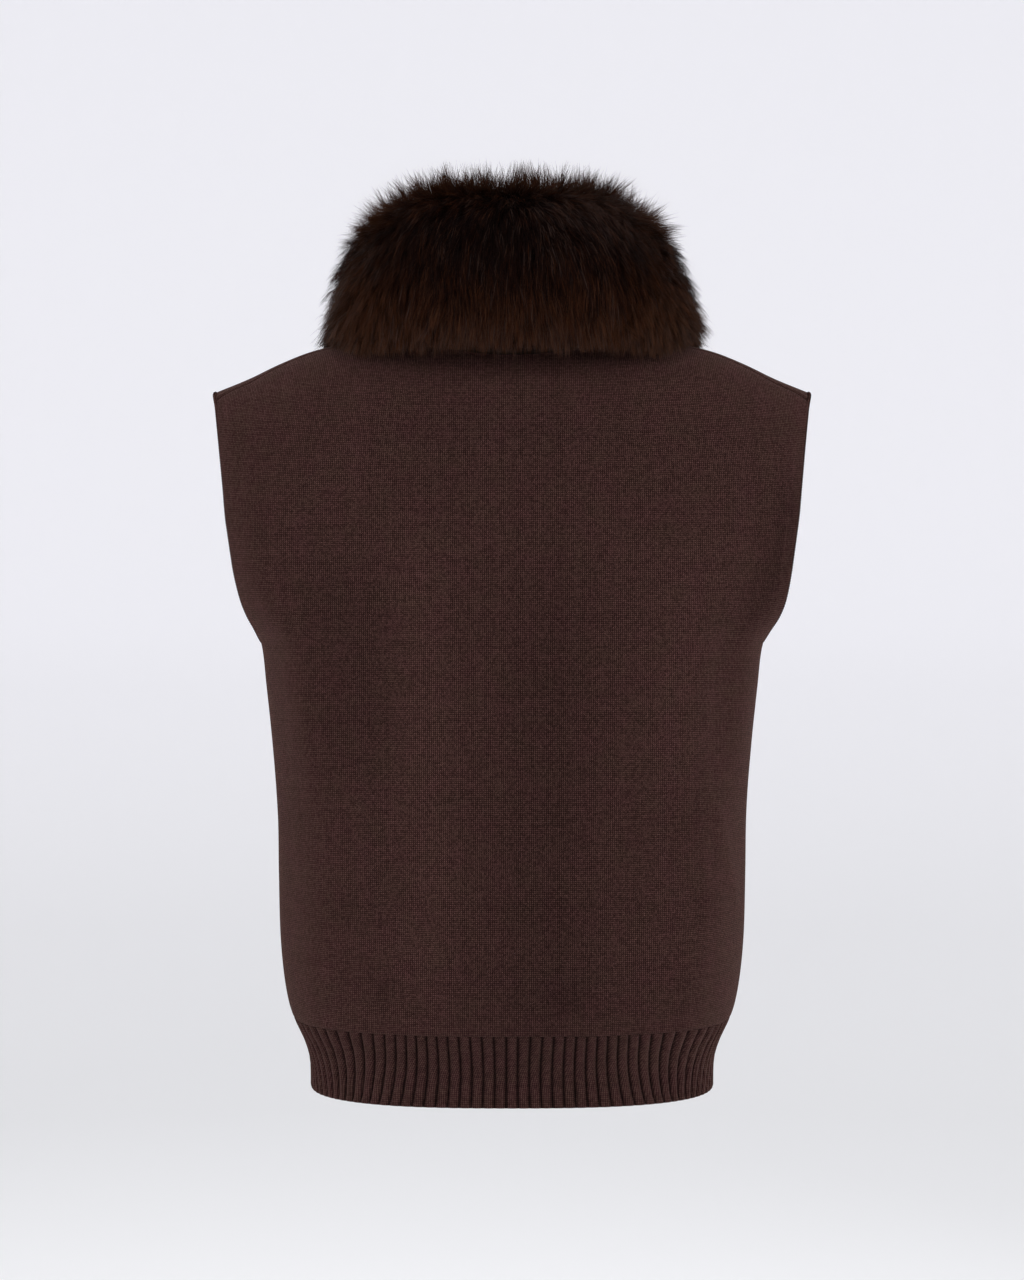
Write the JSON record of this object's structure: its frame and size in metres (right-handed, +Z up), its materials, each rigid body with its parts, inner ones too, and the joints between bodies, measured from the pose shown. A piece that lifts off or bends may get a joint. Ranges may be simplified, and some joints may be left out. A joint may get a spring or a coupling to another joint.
{
  "type": "sleeveless knit jacket",
  "caption": "Sleeveless knit jacket with a ribbed hem, open neck and armholes, and a fold-over fur collar, filled out as if worn.",
  "frame": {"origin": "the middle of the neck opening, at the height where the shoulders meet the neck, where the wearer's shoulders carry the jacket", "axes": "+Z up, the jacket's front faces -Y, and +X is the wearer's left"},
  "size_m": [0.4846, 0.274, 0.7273],
  "materials": {
    "knit": "fine melange wool knit, dark brown, softly brushed and matt",
    "rib": "the same wool in a ribbed or plain band, dark brown, matt",
    "edging": "rolled chain selvedge of the same wool, matt",
    "fur": "dense short fur, blackish brown with warmer brown tips, soft sheen"
  },
  "bodies": {
    "root": {"back": "knit", "front_left": "knit", "front_right": "knit", "hem_rib_back": "rib", "hem_rib_front_left": "rib", "hem_rib_front_right": "rib", "front_band_left": "rib", "front_band_right": "rib", "armhole_edge_left": "edging", "armhole_edge_right": "edging", "fur_collar": "fur"}
  },
  "joints": []
}
